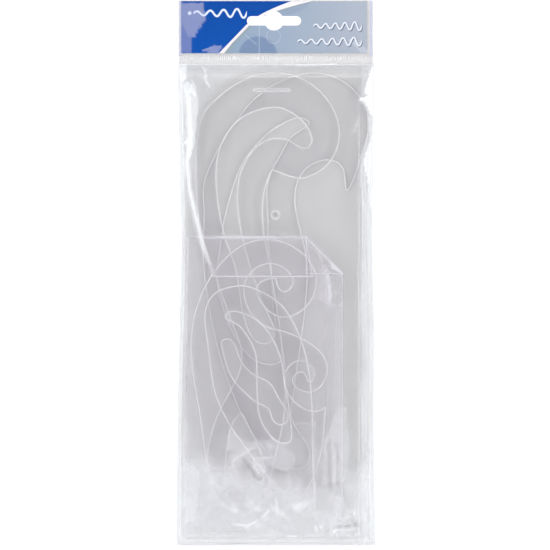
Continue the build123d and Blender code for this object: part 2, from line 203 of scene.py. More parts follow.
def styrene_material(name, mark_height):
    """mark_height is the top of the band, in millimetres, in which a flat face is a moulded mark."""
    material, tree = new_material(name)
    surface = add(tree, "NewGeometry")
    upright = add(tree, "SeparateXYZ", in0=surface.outputs["True Normal"]).outputs[2]
    steep = maths(tree, "LESS_THAN", maths(tree, "ABSOLUTE", upright), FLAT)
    rounded = add(tree, "Bevel", {"samples": 6}, Radius=EDGE_BAND * MM).outputs[0]
    turned = add(tree, "VectorMath", {"operation": "DOT_PRODUCT"}, in0=rounded, in1=surface.outputs["Normal"])
    near = maths(tree, "MULTIPLY", maths(tree, "SUBTRACT", 1.0, turned.outputs["Value"]), EDGE_GAIN)
    near = maths(tree, "MINIMUM", near, EDGE_MOST)
    place = add(tree, "TexCoord").outputs["Object"]
    height = add(tree, "SeparateXYZ", in0=place).outputs[2]
    low = maths(tree, "GREATER_THAN", height, (mark_height - MARK_BAND) * MM)
    mark = maths(tree, "MULTIPLY", low, maths(tree, "LESS_THAN", height, mark_height * MM))
    grain = add(tree, "TexNoise", Vector=place, Scale=1000.0, Detail=2.0).outputs["Fac"]  # 1 mm grain
    edge = maths(tree, "MULTIPLY", steep, maths(tree, "MULTIPLY_ADD", grain, 0.3, 0.8))
    bright = maths(tree, "MAXIMUM", maths(tree, "MAXIMUM", edge, near), maths(tree, "MULTIPLY", mark, 0.3))
    clear = add(tree, "BsdfTransparent", Color=(0.9945, 0.9935, 0.9955, 1.0)).outputs[0]
    lit = add(tree, "MixShader", in0=bright, in1=clear, in2=scatter(tree, linear("#FDFDFF"))).outputs[0]
    gloss = add(tree, "BsdfGlossy", Roughness=0.2, Color=linear("#FFFFFF")).outputs[0]
    caught = maths(tree, "MAXIMUM", schlick(tree, 0.01), maths(tree, "MULTIPLY", steep, EDGE_GLINT))
    finish_material(tree, add(tree, "MixShader", in0=caught, in1=lit, in2=gloss).outputs[0])
    return material


TEMPLATES = ("large_hook_curve", "long_hook_curve", "scroll_curve", "teardrop_curve")
for node in TEMPLATES:
    top = box_mm(node)[1][2]
    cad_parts[node].data.materials.clear()
    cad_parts[node].data.materials.append(styrene_material("moulded_styrene_" + node, top - 0.05))
    print(node, "lies up to", round(top, 2), "mm")

# %% [markdown]
# ## The printed card
#
# The header is coated card, printed in one glossy pass: a saturated blue panel, a white swoosh that
# widens upwards, and a pale grey-blue panel with faint drafting lines. A print is a flat drawing, so it
# is made of masks over the card's own coordinates: each shape is a small formula, and one colour is
# laid over another through its mask. The makers' words are replaced by plain flourishes.

# %% Print helpers


def over(tree, base, colour, mask):
    """One printed colour over another, through a mask."""
    mix = add(tree, "Mix", {"data_type": "RGBA"}, in0=mask, in6=base, in7=colour)
    return mix.outputs[2]


def both(tree, *masks):
    """1 where every mask is 1."""
    found = masks[0]
    for mask in masks[1:]:
        found = maths(tree, "MULTIPLY", found, mask)
    return found


def within(tree, value, middle, reach):
    """1 where a value lies within a reach of a middle."""
    return maths(tree, "COMPARE", value, middle, reach)


def beyond(tree, value, edge, softness=0.15):
    """0 below an edge and 1 above it, with a soft step like ink's."""
    past = maths(tree, "SUBTRACT", value, edge)
    return add(tree, "MapRange", {"interpolation_type": "SMOOTHSTEP"},
               Value=past, From_Min=-softness, From_Max=softness).outputs[0]


def round_mark(tree, x, y, centre, radius):
    """Signed distance outwards from a circle."""
    dx, dy = maths(tree, "SUBTRACT", x, centre[0]), maths(tree, "SUBTRACT", y, centre[1])
    square = maths(tree, "ADD", maths(tree, "MULTIPLY", dx, dx), maths(tree, "MULTIPLY", dy, dy))
    return maths(tree, "SUBTRACT", maths(tree, "SQRT", square), radius)


def flourish(tree, x, y, start, length, wave, height, thickness):
    """A plain wavy stroke that swells from its start: a mark with no lettering in it."""
    along = maths(tree, "SUBTRACT", x, start[0])
    turn = maths(tree, "MULTIPLY", along, 2 * math.pi / wave)
    swell = maths(tree, "MULTIPLY_ADD", along, 0.65 * height / length, 0.35 * height)
    line = maths(tree, "MULTIPLY", swell, maths(tree, "SINE", turn))
    slope = maths(tree, "MULTIPLY", swell, 2 * math.pi / wave)
    slope = maths(tree, "MULTIPLY", slope, maths(tree, "COSINE", turn))
    steep = maths(tree, "SQRT", maths(tree, "MULTIPLY_ADD", slope, slope, 1.0))
    off = maths(tree, "ABSOLUTE", maths(tree, "SUBTRACT", maths(tree, "SUBTRACT", y, start[1]), line))
    near = maths(tree, "DIVIDE", off, steep)
    stroke = maths(tree, "SUBTRACT", 1.0, beyond(tree, near, thickness))
    return both(tree, stroke, within(tree, along, length / 2, length / 2))


print("a flourish's wave is about 6 to 8 mm long, and its stroke about 1 mm wide")

# %% [markdown]
# The pale panel turns a little lavender to the right, with two broad darker circles, and over them the
# faint drafting lines: a small ring, an upright and a slanting line, and a row of slanting ticks. The
# two flourishes stand on it with a soft shadow under each.

# %% Pale and blue panels


def disc(tree, x, y, centre, radius, softness):
    return maths(tree, "SUBTRACT", 1.0, beyond(tree, round_mark(tree, x, y, centre, radius), 0.0, softness))


def pale_panel(tree, x, y, pale_edge):
    wash = maths(tree, "MAXIMUM", maths(tree, "MULTIPLY_ADD", x, 1 / 90, -0.3), 0.0)
    pale = over(tree, linear("#8FA4BC"), linear("#AFB6C3"), maths(tree, "MINIMUM", wash, 1.0))
    shade = disc(tree, x, y, (46.2, -1.5), 11.5, 0.6)
    pale = over(tree, pale, linear("#7288AB"), maths(tree, "MULTIPLY", shade, 0.75))
    shade = disc(tree, x, y, (62.0, 44.0), 21.0, 0.6)
    pale = over(tree, pale, linear("#8B9BB4"), maths(tree, "MULTIPLY", shade, 0.45))
    ring = within(tree, round_mark(tree, x, y, (55.5, 10.0), 4.2), 0.0, 0.16)
    rule = both(tree, within(tree, x, 46.9, 0.2), within(tree, y, 8.0, 9.0))
    slant = within(tree, maths(tree, "MULTIPLY_ADD", x, 0.87, y), 44.6, 0.22)
    slant = both(tree, slant, within(tree, x, 41.0, 4.5))
    lines = maths(tree, "MAXIMUM", maths(tree, "MAXIMUM", ring, rule), slant)
    pale = over(tree, pale, linear("#C3CEDA"), maths(tree, "MULTIPLY", lines, 0.65))
    across = maths(tree, "ADD", x, y)
    ticks = maths(tree, "MULTIPLY", maths(tree, "SUBTRACT", x, y), 0.55)
    ticks = within(tree, maths(tree, "FRACT", ticks), 0.5, 0.2)
    ticks = both(tree, ticks, within(tree, across, 111.0, 2.6), within(tree, y, 4.3, 4.0))
    pale = over(tree, pale, linear("#DCE0E8"), maths(tree, "MULTIPLY", ticks, 0.8))
    for start, length, wave in (((79.5, 16.3), 29.0, 5.8), ((70.0, 7.0), 38.5, 6.4)):
        low = (start[0] + 0.5, start[1] - 0.5)
        pale = over(tree, pale, linear("#6B7387"), flourish(tree, x, y, low, length, wave, 2.6, 0.5))
        pale = over(tree, pale, linear("#E9EDF5"), flourish(tree, x, y, start, length, wave, 2.6, 0.42))
    shadow = maths(tree, "SUBTRACT", 1.0, beyond(tree, x, maths(tree, "ADD", pale_edge, 2.4), 0.6))
    return over(tree, pale, linear("#93A29F"), maths(tree, "MULTIPLY", shadow, 0.6))


def blue_panel(tree, x, y):
    deep = maths(tree, "MULTIPLY_ADD", y, 1 / 40, 0.1)
    blue = over(tree, linear("#0452AE"), linear("#01489F"), deep)
    emblem = flourish(tree, x, y, (7.5, 24.0), 32.0, 8.0, 2.8, 0.6)
    dot = disc(tree, x, y, (5.2, 24.0), 1.1, 0.15)
    return over(tree, blue, linear("#E4ECFA"), maths(tree, "MAXIMUM", emblem, dot))


print("card corner at", CARD_LOW.round(2), "mm")

# %% [markdown]
# The swoosh's two edges are one straight line with a bend that grows above the hang slot, so both are
# a line plus a square. Everything is placed from the card's own lower left corner.

# %% Coated card material


def card_material():
    material, tree = new_material("coated_header_card")
    place = add(tree, "TexCoord").outputs["Object"]
    place = add(tree, "VectorMath", {"operation": "SCALE"}, in0=place, Scale=1 / MM).outputs[0]
    corner = add(tree, "VectorMath", {"operation": "SUBTRACT"}, in0=place, in1=tuple(CARD_LOW))
    split = add(tree, "SeparateXYZ", in0=corner.outputs[0])
    x, y = split.outputs[0], split.outputs[1]

    bend = maths(tree, "MAXIMUM", maths(tree, "SUBTRACT", y, 16.8), 0.0)
    bend = maths(tree, "MULTIPLY", bend, bend)
    blue_edge = maths(tree, "MULTIPLY_ADD", y, 0.966, 22.8)
    blue_edge = maths(tree, "ADD", blue_edge, maths(tree, "MULTIPLY", bend, 0.064))
    foot = maths(tree, "MAXIMUM", maths(tree, "MULTIPLY_ADD", y, -0.17, 1.0), 0.0)
    swoosh = maths(tree, "MULTIPLY_ADD", bend, 0.05, 2.1)
    pale_edge = maths(tree, "ADD", maths(tree, "ADD", blue_edge, swoosh), foot)

    shade = maths(tree, "MULTIPLY", beyond(tree, x, pale_edge, 2.0), 0.9)
    white = over(tree, linear("#F1EDF1"), linear("#E2D9D6"), shade)
    print_colour = over(tree, white, pale_panel(tree, x, y, pale_edge), beyond(tree, x, pale_edge, 0.25))
    print_colour = over(tree, blue_panel(tree, x, y), print_colour, beyond(tree, x, blue_edge, 0.2))
    up = add(tree, "SeparateXYZ", in0=add(tree, "NewGeometry").outputs["True Normal"]).outputs[2]
    colour = over(tree, linear("#E9E9E6"), print_colour, maths(tree, "GREATER_THAN", up, 0.5))
    fibre = add(tree, "TexNoise", Vector=place, Scale=8.0, Detail=3.0).outputs["Fac"]  # fibres 0.12 mm wide
    rough = maths(tree, "MULTIPLY_ADD", fibre, 0.12, 0.3)
    coat = add(tree, "BsdfPrincipled", Base_Color=colour, Roughness=rough, Specular_IOR_Level=0.05)
    finish_material(tree, coat.outputs[0])
    return material


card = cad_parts["header_card"]
card.data.materials.clear()
card.data.materials.append(card_material())
print("card", (CARD_HIGH - CARD_LOW).round(2), "mm")

# %% [markdown]
# ## How film folds
#
# Film can't stretch, so a crumpled bag is made of flat facets that meet in sharp creases, unlike the
# soft waves of cloth. Each film starts as a fine grid, and its points are lifted by a height that is
# worked out from where they are: wide facets, narrow facets, and single folds along a few points. The
# same functions give the haze_and_highlight: film turns white where it is creased, and the crumples
# and folds also get painted highlights where they would catch the lamps.

# %% Helpers for folds


def smooth(value, low, high):
    """0 at low and 1 at high, with a soft start and end."""
    t = np.clip((value - low) / (high - low), 0, 1)
    return t * t * (3 - 2 * t)


def facets(x, y, cell, seed):
    """Heights from -1 to 1 over a net of flat triangles, about one cell in size, pushed out of line."""
    table = np.random.default_rng(seed).uniform(-1, 1, (61, 67))
    u = x / cell[0] + 0.45 * np.sin(y / cell[1] * 1.9 + seed) + 0.2 * np.sin(y / cell[1] * 4.3 + 2 * seed)
    v = y / cell[1] + 0.45 * np.sin(x / cell[0] * 1.6 + 3 * seed) + 0.2 * np.sin(x / cell[0] * 3.9 + seed)
    i, j = np.floor(u).astype(int), np.floor(v).astype(int)
    fu, fv = u - i, v - j
    flip = (i * 7 + j * 3 + seed) % 2 == 1
    at = {(a, b): table[(i + a) % 61, (j + b) % 67] for a in (0, 1) for b in (0, 1)}
    left, right = np.where(flip, at[1, 0], at[0, 0]), np.where(flip, at[0, 0], at[1, 0])
    left_up, right_up = np.where(flip, at[1, 1], at[0, 1]), np.where(flip, at[0, 1], at[1, 1])
    fu = np.where(flip, 1 - fu, fu)
    near = left + (right - left) * fu + (left_up - left) * fv
    far = right_up + (left_up - right_up) * (1 - fu) + (right - right_up) * (1 - fv)
    return np.where(fu + fv < 1, near, far)


def along_line(x, y, points):
    """Each place's distance from a line through points, and how far along it that is, from 0 to 1."""
    points = np.array(points, float)
    steps = np.hypot(*np.diff(points, axis=0).T)
    total, gone = steps.sum(), 0.0
    best, where = np.full(x.shape, 1e9), np.zeros(x.shape)
    for (ax, ay), (bx, by), step in zip(points[:-1], points[1:], steps):
        ux, uy = (bx - ax) / step, (by - ay) / step
        t = np.clip((x - ax) * ux + (y - ay) * uy, 0, step)
        away = np.hypot(x - ax - t * ux, y - ay - t * uy)
        nearer = away < best
        best = np.where(nearer, away, best)
        where = np.where(nearer, (gone + t) / total, where)
        gone += step
    return best, where


def fold(x, y, points, width):
    """1 along a fold's crest, falling straight to 0 at its width, and fading out at both ends."""
    away, where = along_line(x, y, points)
    ends = np.clip(4 * np.minimum(where, 1 - where) + 0.1, 0, 1) ** 0.5
    return ends * np.clip(1 - away / width, 0, 1)


def patch(x, y, corners):
    """1 inside a polygon and 0 outside it."""
    inside = np.zeros(x.shape, bool)
    for (ax, ay), (bx, by) in zip(corners, corners[1:] + corners[:1]):
        crosses = (ay > y) != (by > y)
        inside ^= crosses & (x < (bx - ax) * (y - ay) / ((by - ay) or 1e-9) + ax)
    return inside.astype(float)


sample = facets(np.linspace(0, 90, 50), np.linspace(0, 200, 50), (8, 8), 3)
print("facets reach from", sample.min().round(2), "to", sample.max().round(2))

# %% [markdown]
# ## From a flat grid to a film
#
# One function makes every film: it lays out a grid with bmesh, hands all its points to a shape function
# as arrays, and gives the sheet its 0.1 mm of thickness with a Solidify modifier. The shape function
# returns the new places and the haze_and_highlight, which is the film's crease whitening together with
# its painted highlights. The sheet's outline is marked sharp: smooth shading round the cut edge would
# turn the normals there sideways and draw a dark line.

# %% Film maker


def film_piece(name, low, high, cell, shape, material, body, replaced, thickness=FILM):
    """Makes one film over the rectangle from low to high, in millimetres, with cells of about a size."""
    mesh = bpy.data.meshes.new(name)
    piece = bpy.data.objects.new(name, mesh)
    bpy.context.scene.collection.objects.link(piece)
    segments = [max(2, round((high[i] - low[i]) / cell)) for i in (0, 1)]
    bm = bmesh.new()
    bmesh.ops.create_grid(bm, x_segments=segments[0], y_segments=segments[1], size=0.5)
    flat = np.array([v.co for v in bm.verts])
    x = (flat[:, 0] + 0.5) * (high[0] - low[0]) + low[0]
    y = (flat[:, 1] + 0.5) * (high[1] - low[1]) + low[1]
    x, y, z, haze_and_highlight = shape(x, y)
    layer = bm.verts.layers.float.new("haze_and_highlight")
    for v, place, white in zip(bm.verts, np.stack([x, y, z], 1) * MM, haze_and_highlight):
        v.co = place
        v[layer] = white
    for face in bm.faces:
        face.smooth = True
    for edge in bm.edges:
        edge.smooth = not edge.is_boundary
    bm.normal_update()
    bm.to_mesh(mesh)
    bm.free()
    solid = piece.modifiers.new("film thickness", "SOLIDIFY")
    solid.thickness = thickness * MM
    solid.offset = -1.0
    mesh.materials.append(material)
    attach(piece, body)
    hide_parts(*replaced)
    print(name, len(mesh.polygons), "faces, z", round(float(z.min()), 2), "to", round(float(z.max()), 2))


print("film is", FILM, "mm thick")

# %% [markdown]
# ## The outer bag's front film
#
# Over the templates the film lies flat and high enough for all that slides under it. It comes down to
# the seams at both sides, to the crimped seal at the top and to the bottom weld. The bag is a little
# narrower at its waist. Each side starts as a narrow flat flange beside its seam, as a welded film
# does, and only then climbs.

# %% Waist and walls


def waist(y):
    """How far in the left and right seams lie, in millimetres, at a height along the bag."""
    middle = np.clip(1 - np.abs(y - 20) / 150, 0, 1) ** 1.5
    return 3.0 * middle, 1.3 * middle + 0.35 * np.sin(y / 21)


def between_seams(x, y):
    """Draws the film in to the waist: its new x, and how far that lies from the left and right seam."""
    left_in, right_in = waist(y)
    half = (SEAM_RIGHT - SEAM_LEFT) / 2
    side = x / half
    x = np.where(side < 0, side * (half - left_in), side * (half - right_in))
    return x, x - (SEAM_LEFT + left_in), (SEAM_RIGHT - right_in) - x


def wall(away, run, height, flange=0.7):
    """A film's climb from a seam: a narrow flat flange, then steep, then rounding off into the flat."""
    return np.sin(np.clip((away - flange) / (run - flange), 0, 1) * math.pi / 2) * height


FLAT_TOP = POUCH_HIGH[2] - 0.02
print("flat top at", round(FLAT_TOP, 2), "mm, and the waist is drawn in by", waist(20.0)[0].round(2), "mm")

# %% [markdown]
# Crumples lie along both sides and over the lowest third, and a long crease runs down the right side
# where the film bends over the edge of the pack. A crease would catch the light as a line, and a facet
# at one slope would have one tone. Both are painted into the film, as painted highlights where it is
# whiter and painted shade where it is clearer. Both are kept as lists of places in millimetres, so
# each one can be moved or taken out on its own.

# %% Creases and painted light of the outer film

RIGHT_CREASE = 49.4
# Where the crumpled band on the right begins, from the bottom of the bag to the top.
RIGHT_BAND = [(-170, 50.9), (60, 50.9), (68, 51.6), (74, 53.2), (80, 54.4), (85, 55.5), (93, 55.6), (98, 54.4),
              (102, 51), (130, 50.9)]
LEFT_FOLD = [(-54.6, 112), (-51.8, 104), (-50.8, 83), (-52.6, 67), (-51.4, 51), (-47.8, 35), (-43.6, 17),
             (-40, 7)]
# The points that each crease runs through, its half width, and how much whiter it is, as painted
# highlight, or clearer below 0, as painted shade.
CREASES_WITH_PAINTED_LIGHT = [
    ([(12, 125), (24, 125.4), (36.4, 125.7)], 1.0, 0.95),
    ([(4.6, 124.8), (12, 125.0)], 0.8, 0.45),
    ([(-57, 108), (-56.2, 101), (-55.7, 83)], 0.8, 0.30),
    ([(46, 84), (49.4, 92)], 0.9, 0.16),
    ([(-25.6, -111.3), (-19.6, -107.1), (-11.2, -102.3)], 1.5, 0.13),
    ([(-12.5, -110.1), (0.2, -108.9)], 0.9, 0.14),
    ([(-12.5, -109), (-12.6, -116.7), (-8.3, -119.1)], 1.0, 0.12),
    ([(-4.8, -101), (-3.4, -103.6), (-2.4, -101.5)], 1.5, 0.16),
    ([(-26.3, -148.8), (-16.7, -149.7), (-13.4, -148.2), (-10.5, -146.2)], 0.9, 0.26),
    ([(-8.3, -145.5), (-3.5, -140.1)], 2.0, 0.15),
    ([(-0.2, -133), (1.2, -142)], 1.4, 0.12),
    ([(6.2, -156), (12.8, -156.3)], 0.9, 0.18),
    ([(10.4, -141.3), (14.6, -136.5), (18.8, -134.1)], 1.4, 0.04),
    ([(23.6, -149.7), (24.8, -153.9)], 1.5, 0.15),
    ([(40, -147), (43.5, -143.5)], 2.2, 0.12),
    ([(33.6, -153.4), (36.4, -152.6)], 1.1, 0.5),
    ([(36.4, -152.4), (48.6, -151.8)], 1.0, 0.12),
    ([(-33.5, -136), (-27.5, -139.5), (-19.7, -143.1), (-10.7, -139.5), (-8.3, -134.7)], 2.2, 0.035),
    ([(22.8, -118), (23.6, -131), (22.6, -140)], 1.5, 0.08),
    ([(7.9, -117), (8.6, -128)], 0.9, 0.10),
    ([(-19.6, -109.5), (-15.5, -115), (-12.5, -121), (-7, -122.7)], 2.2, -0.20),
    ([(-5.3, -114.9), (1.4, -117.3), (7.4, -119.1)], 1.2, -0.16),
    ([(-38.3, -163), (-24, -162), (-10.7, -161.1)], 1.1, -0.22),
    ([(35, -150.9), (41.6, -150.3), (47.6, -148.5)], 0.9, -0.22),
    ([(38.4, -158.2), (38.8, -158.4)], 3.4, -0.22),
    ([(47.6, -148), (48.2, -150.4)], 2.2, -0.18),
    ([(-27, -131), (-18, -132)], 5.0, -0.08),
    ([(39, -126), (44, -139)], 2.4, -0.08),
    ([(-49, -150.5), (-44, -152.5)], 2.0, -0.06),
]
# The corners of each patch of painted light, and how much whiter it is, as painted highlight, or
# clearer below 0, as painted shade.
PAINTED_LIGHT_PATCHES = [
    ([(-53.2, 113.7), (-50.9, 113.7), (-46, 104), (-46.7, 92), (-47.9, 77), (-51.4, 68), (-52.6, 86)], 0.22),
    ([(-44.5, 124.5), (-42, 122.5), (-40.5, 116), (-38.3, 109.3), (-43.5, 115.2), (-42.3, 118.5)], 0.22),
    ([(-49.3, 116), (-47, 110), (-47, 104.7), (-52, 108)], 0.2),
    ([(-57.5, 125.7), (-53.2, 125.7), (-53, 116), (-55.6, 113.5), (-57.5, 116)], 0.25),
    ([(-54.9, 78.3), (-51.9, 80.2), (-51.3, 75.5)], 0.5),
    ([(58, 124.5), (55.4, 117.3), (53.6, 112.5), (53, 107), (55.4, 106), (48.8, 103.5), (52.4, 102.3),
      (54.2, 99.3), (58, 93.3), (59.5, 93.3), (59.5, 124.5)], 0.75),
    ([(57.8, 93.3), (57.5, 83), (56.3, 78.3), (54.2, 74), (52, 66), (54.5, 56), (57, 40), (59.5, 30),
      (59.5, 93.3)], 0.35),
    ([(-51.5, -109), (-45.5, -118), (-46, -136), (-48.5, -147), (-53.8, -148), (-54.5, -133),
      (-53.2, -118)], 0.06),
    ([(37.5, -79), (42, -79), (43.3, -100), (42.8, -118), (41.5, -124), (27.8, -124), (27.8, -106),
      (29, -99)], 0.1),
    ([(-29.5, -95), (-26, -93), (-18, -100), (-10.5, -99.3), (-0.5, -98), (9.7, -106), (12, -112), (8.5, -117),
      (-8, -118), (-21.5, -112), (-26, -116)], 0.085),
    ([(30.4, -100), (33, -100), (33.6, -116), (33, -131), (31, -124)], -0.11),
    ([(35.2, -100), (37.6, -101), (38, -124), (36, -126)], -0.10),
]
# Where the crumpled lowest third begins, from the left to the right.
LOOSE_EDGE = [(-60, -110), (-46, -108), (-37, -112), (-28, -113), (-18, -118), (-9, -118), (2, -120),
              (16, -121), (26, -125), (38, -127), (43, -119), (52, -116), (60, -116)]
print(len(CREASES_WITH_PAINTED_LIGHT), "creases and", len(PAINTED_LIGHT_PATCHES), "facets")

# %% [markdown]
# The shape function first works out the plain bag, with a wall on each of its four sides. Then it says
# how much each place belongs to a crumpled band, how far the crumples lift it there, and how white
# they make it. That whiteness is partly the real whitening of creased film and partly painted highlight
# where crumples would catch the lamps. The listed creases and patches add painted highlights, and
# painted shade where negative. Nothing is lifted near the seams, where the film is held.

# %% Outer front film


def outer_front(x, y):
    x, from_left, from_right = between_seams(x, y)
    from_top, from_foot = POUCH_HIGH[1] - y, y - POUCH_LOW[1]
    sides = np.minimum(wall(from_left, 4.2, FLAT_TOP), wall(from_right, 5.0, FLAT_TOP))
    ends = np.minimum(wall(from_top, 9.9, FLAT_TOP), wall(from_foot, 7.9, FLAT_TOP))
    z = np.minimum(sides, ends) + POUCH_LOW[2]

    edge = np.interp(x, *np.array(LOOSE_EDGE).T) + 2.5 * facets(x, y, (8, 30), 8)
    low_third = 1 - smooth(y - edge + 3 * facets(x, y, (4, 12), 18), -10, 7)
    loosened = 1 - smooth(y, -110, -84)
    left_band = 0.75 * (1 - smooth(x + 2 * facets(x, y, (60, 26), 5), -55, -52))
    left_band += 0.25 * (1 - smooth(x + 3 * facets(x, y, (60, 26), 5), -49, -45))
    band_start = np.interp(y, *np.array(RIGHT_BAND).T) - 0.8 * facets(x, y, (40, 30), 15)
    right_band = smooth(x - band_start, -0.7, 0.7)
    inside = smooth(np.minimum(from_left, from_right), 0.9, 5) * smooth(np.minimum(from_top, from_foot), 0.5, 7)

    crumple = facets(x, y, (11, 13), 1) + 0.5 * facets(x, y, (5, 6), 2)
    upright = facets(x, y, (3.4, 24), 3) + 0.4 * facets(x, y, (1.8, 9), 4)
    gentle = facets(x, y, (26, 50), 6)
    lift = 0.16 * (1 + gentle) + loosened * 0.2 * (1.4 + crumple)
    lift += low_third * 0.5 * (1.4 + crumple)
    lift += np.maximum(left_band, right_band) * 0.4 * (1.2 + upright)
    streaks = smooth(x, 22, 30) * (1 - smooth(y, -96, -70))
    lift += streaks * 0.3 * (1.2 + upright)
    lift += 1.1 * fold(x, y, LEFT_FOLD, 1.8)

    line = fold(x, y, [(RIGHT_CREASE, 124), (RIGHT_CREASE, 0), (RIGHT_CREASE, -158)], 0.7)
    # Crease whitening of the crumpled bands, which is also painted highlight where they would catch the lamps.
    haze_and_highlight = 0.004 + 0.004 * gentle
    haze_and_highlight += loosened * (0.06 + 0.025 * facets(x, y, (9, 12), 14)) + streaks * 0.03 * upright
    haze_and_highlight += low_third * (0.19 + 0.035 * facets(x, y, (9, 11), 1) + 0.015 * facets(x, y, (5, 4), 9))
    haze_and_highlight += left_band * (0.2 + 0.07 * smooth(y, 10, 40) + 0.07 * upright) * (1 - 0.5 * low_third)
    haze_and_highlight += right_band * (0.2 + 0.05 * upright) * (1 - 0.5 * low_third)
    # Painted highlights along the left fold and the right crease, besides their lift.
    haze_and_highlight += 0.6 * fold(x, y, LEFT_FOLD, 1.5) + 0.24 * line
    haze_and_highlight += 0.05 * smooth(y, 116, 121)
    past_hook = smooth(np.hypot(1.08 * (x + 4.6), y - 74), 45, 51)
    haze_and_highlight += 0.1 * past_hook * smooth(y, 55, 70) * (1 - smooth(x, -8, 12))
    rim = np.minimum(np.minimum(from_left, from_right), np.minimum(from_foot, from_top))
    haze_and_highlight = haze_and_highlight * (0.5 + 0.5 * smooth(rim, 0.7, 2.4)) + 0.6 * (1 - smooth(rim, 0.6, 1.4))
    # Each listed crease adds a lift and a painted highlight, or painted shade where negative.
    for points, width, white in CREASES_WITH_PAINTED_LIGHT:
        ridge = fold(x, y, points, width)
        haze_and_highlight += white * ridge
        lift += 0.4 * max(abs(white) - 0.08, 0) ** 0.5 * ridge
    # These patches are painted highlight and painted shade only; they lift nothing.
    for corners, white in PAINTED_LIGHT_PATCHES:
        haze_and_highlight += white * patch(x, y, corners)
    z = z + np.maximum(lift + 0.3 * line, 0) * inside
    return x, y, z, np.clip(haze_and_highlight, 0, 0.9)


film_piece(
    "bag_film_front", (SEAM_LEFT, POUCH_LOW[1]), (SEAM_RIGHT, POUCH_HIGH[1]), 0.85,
    outer_front, FILM_OUTER, "bag", ["pouch_film_front"])

# %% [markdown]
# ## The outer bag's back film
#
# The back lies on the table under everything, so it is nearly flat, with shallow facets that only show
# as a slight change in its gloss.

# %% Outer back film


def outer_back(x, y):
    x, _, _ = between_seams(x, y)
    z = FILM + 0.05 * (1 + facets(x, y, (17, 23), 7))
    return x, y, z, np.full(x.shape, 0.004)


film_piece(
    "bag_film_back", (SEAM_LEFT, POUCH_LOW[1]), (SEAM_RIGHT, POUCH_HIGH[1]), 2.0,
    outer_back, FILM_OUTER, "bag", ["pouch_film_back"])

# %% [markdown]
# ## The welded seams
#
# A seam is a strip about a millimetre wide where both films are melted into one. It is whiter and
# stiffer than the film, and it waves a little in and out with the bag's waist.

# %% Seams


def seam_material(name, white, share):
    """share is how much of a surface scatters white, on average over a fine grain."""
    material, tree = new_material(name)
    place = add(tree, "TexCoord").outputs["Object"]
    grain = add(tree, "TexNoise", Vector=place, Scale=4000.0, Detail=3.0).outputs["Fac"]  # 0.25 mm grain
    milk = maths(tree, "MULTIPLY_ADD", grain, 0.3, share - 0.15)
    finish_film(tree, (0.98, 0.98, 0.985), milk, white, 0.01, 0.2)
    return material


WELDED = seam_material("welded_polypropylene_seam", "#FBFBFD", 0.4)
WELD_WIDTH = 1.0


def side_seam(side):
    """The shape of one side's seam: low beside the pouch, and at half height beside the sleeve."""
    def shape(x, y):
        inset = waist(y)[0 if side < 0 else 1]
        in_pouch = 1 - smooth(y, POUCH_HIGH[1] - 6, POUCH_HIGH[1] + 2)
        z = 0.2 + (1 - in_pouch) * 0.34 + 0.06 * (1 + facets(x, y, (4, 9), 11))
        return x - side * inset, y, z, np.zeros(x.shape)
    return shape


for name, side, edge, node in (("bag_seam_left", -1, SEAM_LEFT, "side_weld_left"),
                               ("bag_seam_right", 1, SEAM_RIGHT, "side_weld_right")):
    low, high = min(edge, edge - side * WELD_WIDTH), max(edge, edge - side * WELD_WIDTH)
    film_piece(name, (low, BAG_FOOT), (high, BAG_CREST), 0.5, side_seam(side), WELDED, "bag", [node],
               thickness=0.2)


def bottom_seam(x, y):
    sag = 0.2 * np.sin((x - SEAM_LEFT) / (SEAM_RIGHT - SEAM_LEFT) * math.pi)
    return x * 0.996, y + sag, 0.2 + 0.08 * (1 + facets(x, y, (9, 4), 12)), np.zeros(x.shape)


film_piece("bag_seam_bottom", (SEAM_LEFT, BAG_FOOT), (SEAM_RIGHT, BAG_FOOT + WELD_WIDTH), 0.5, bottom_seam,
           WELDED, "bag", ["bottom_weld"], thickness=0.2)

# %% [markdown]
# ## The crimped seal
#
# Heated jaws with upright ribs close the bag under the header. The ribs are real in the CAD model. The
# film between them has melted unevenly, so some ribs are whiter than others: a noise that only changes
# along the seal gives each rib its own tone.

# %% Crimped seal


RIBS = 900.0  # to a metre, so each rib has a tone of its own
UPPER_HALF = POUCH_HIGH[1] + 1.9


def crimp_material():
    material, tree = new_material("crimped_polypropylene")
    place = add(tree, "TexCoord").outputs["Object"]
    ribs = add(tree, "Mapping", {"vector_type": "POINT"}, Vector=place, Scale=(RIBS, 0.0, 0.0))
    tick = add(tree, "TexNoise", Vector=ribs.outputs[0], Scale=1.0, Detail=0.0).outputs["Fac"]
    tick = maths(tree, "MULTIPLY", maths(tree, "SUBTRACT", tick, 0.5), 2.6)
    groups = add(tree, "Mapping", {"vector_type": "POINT"}, Vector=place, Scale=(RIBS / 10, 0.0, 0.0))
    broad = add(tree, "TexNoise", Vector=groups.outputs[0], Scale=1.0, Detail=0.0).outputs["Fac"]
    cluster = beyond(tree, broad, 0.48, 0.05)
    height = add(tree, "SeparateXYZ", in0=place).outputs[1]
    upper = beyond(tree, maths(tree, "MULTIPLY", height, 1 / MM), UPPER_HALF, 0.4)
    marks = both(tree, maths(tree, "MAXIMUM", tick, -0.1), cluster, upper)
    milk = maths(tree, "MULTIPLY_ADD", marks, 1.4, 0.12)
    finish_film(tree, (0.905, 0.905, 0.91), milk, "#F6F6F6", 0.04, 0.18)
    return material


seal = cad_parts["crimp_seal"]
seal.data.materials.clear()
seal.data.materials.append(crimp_material())
print("seal from", POUCH_HIGH[1].round(2), "mm up, with white marks above", UPPER_HALF.round(2))

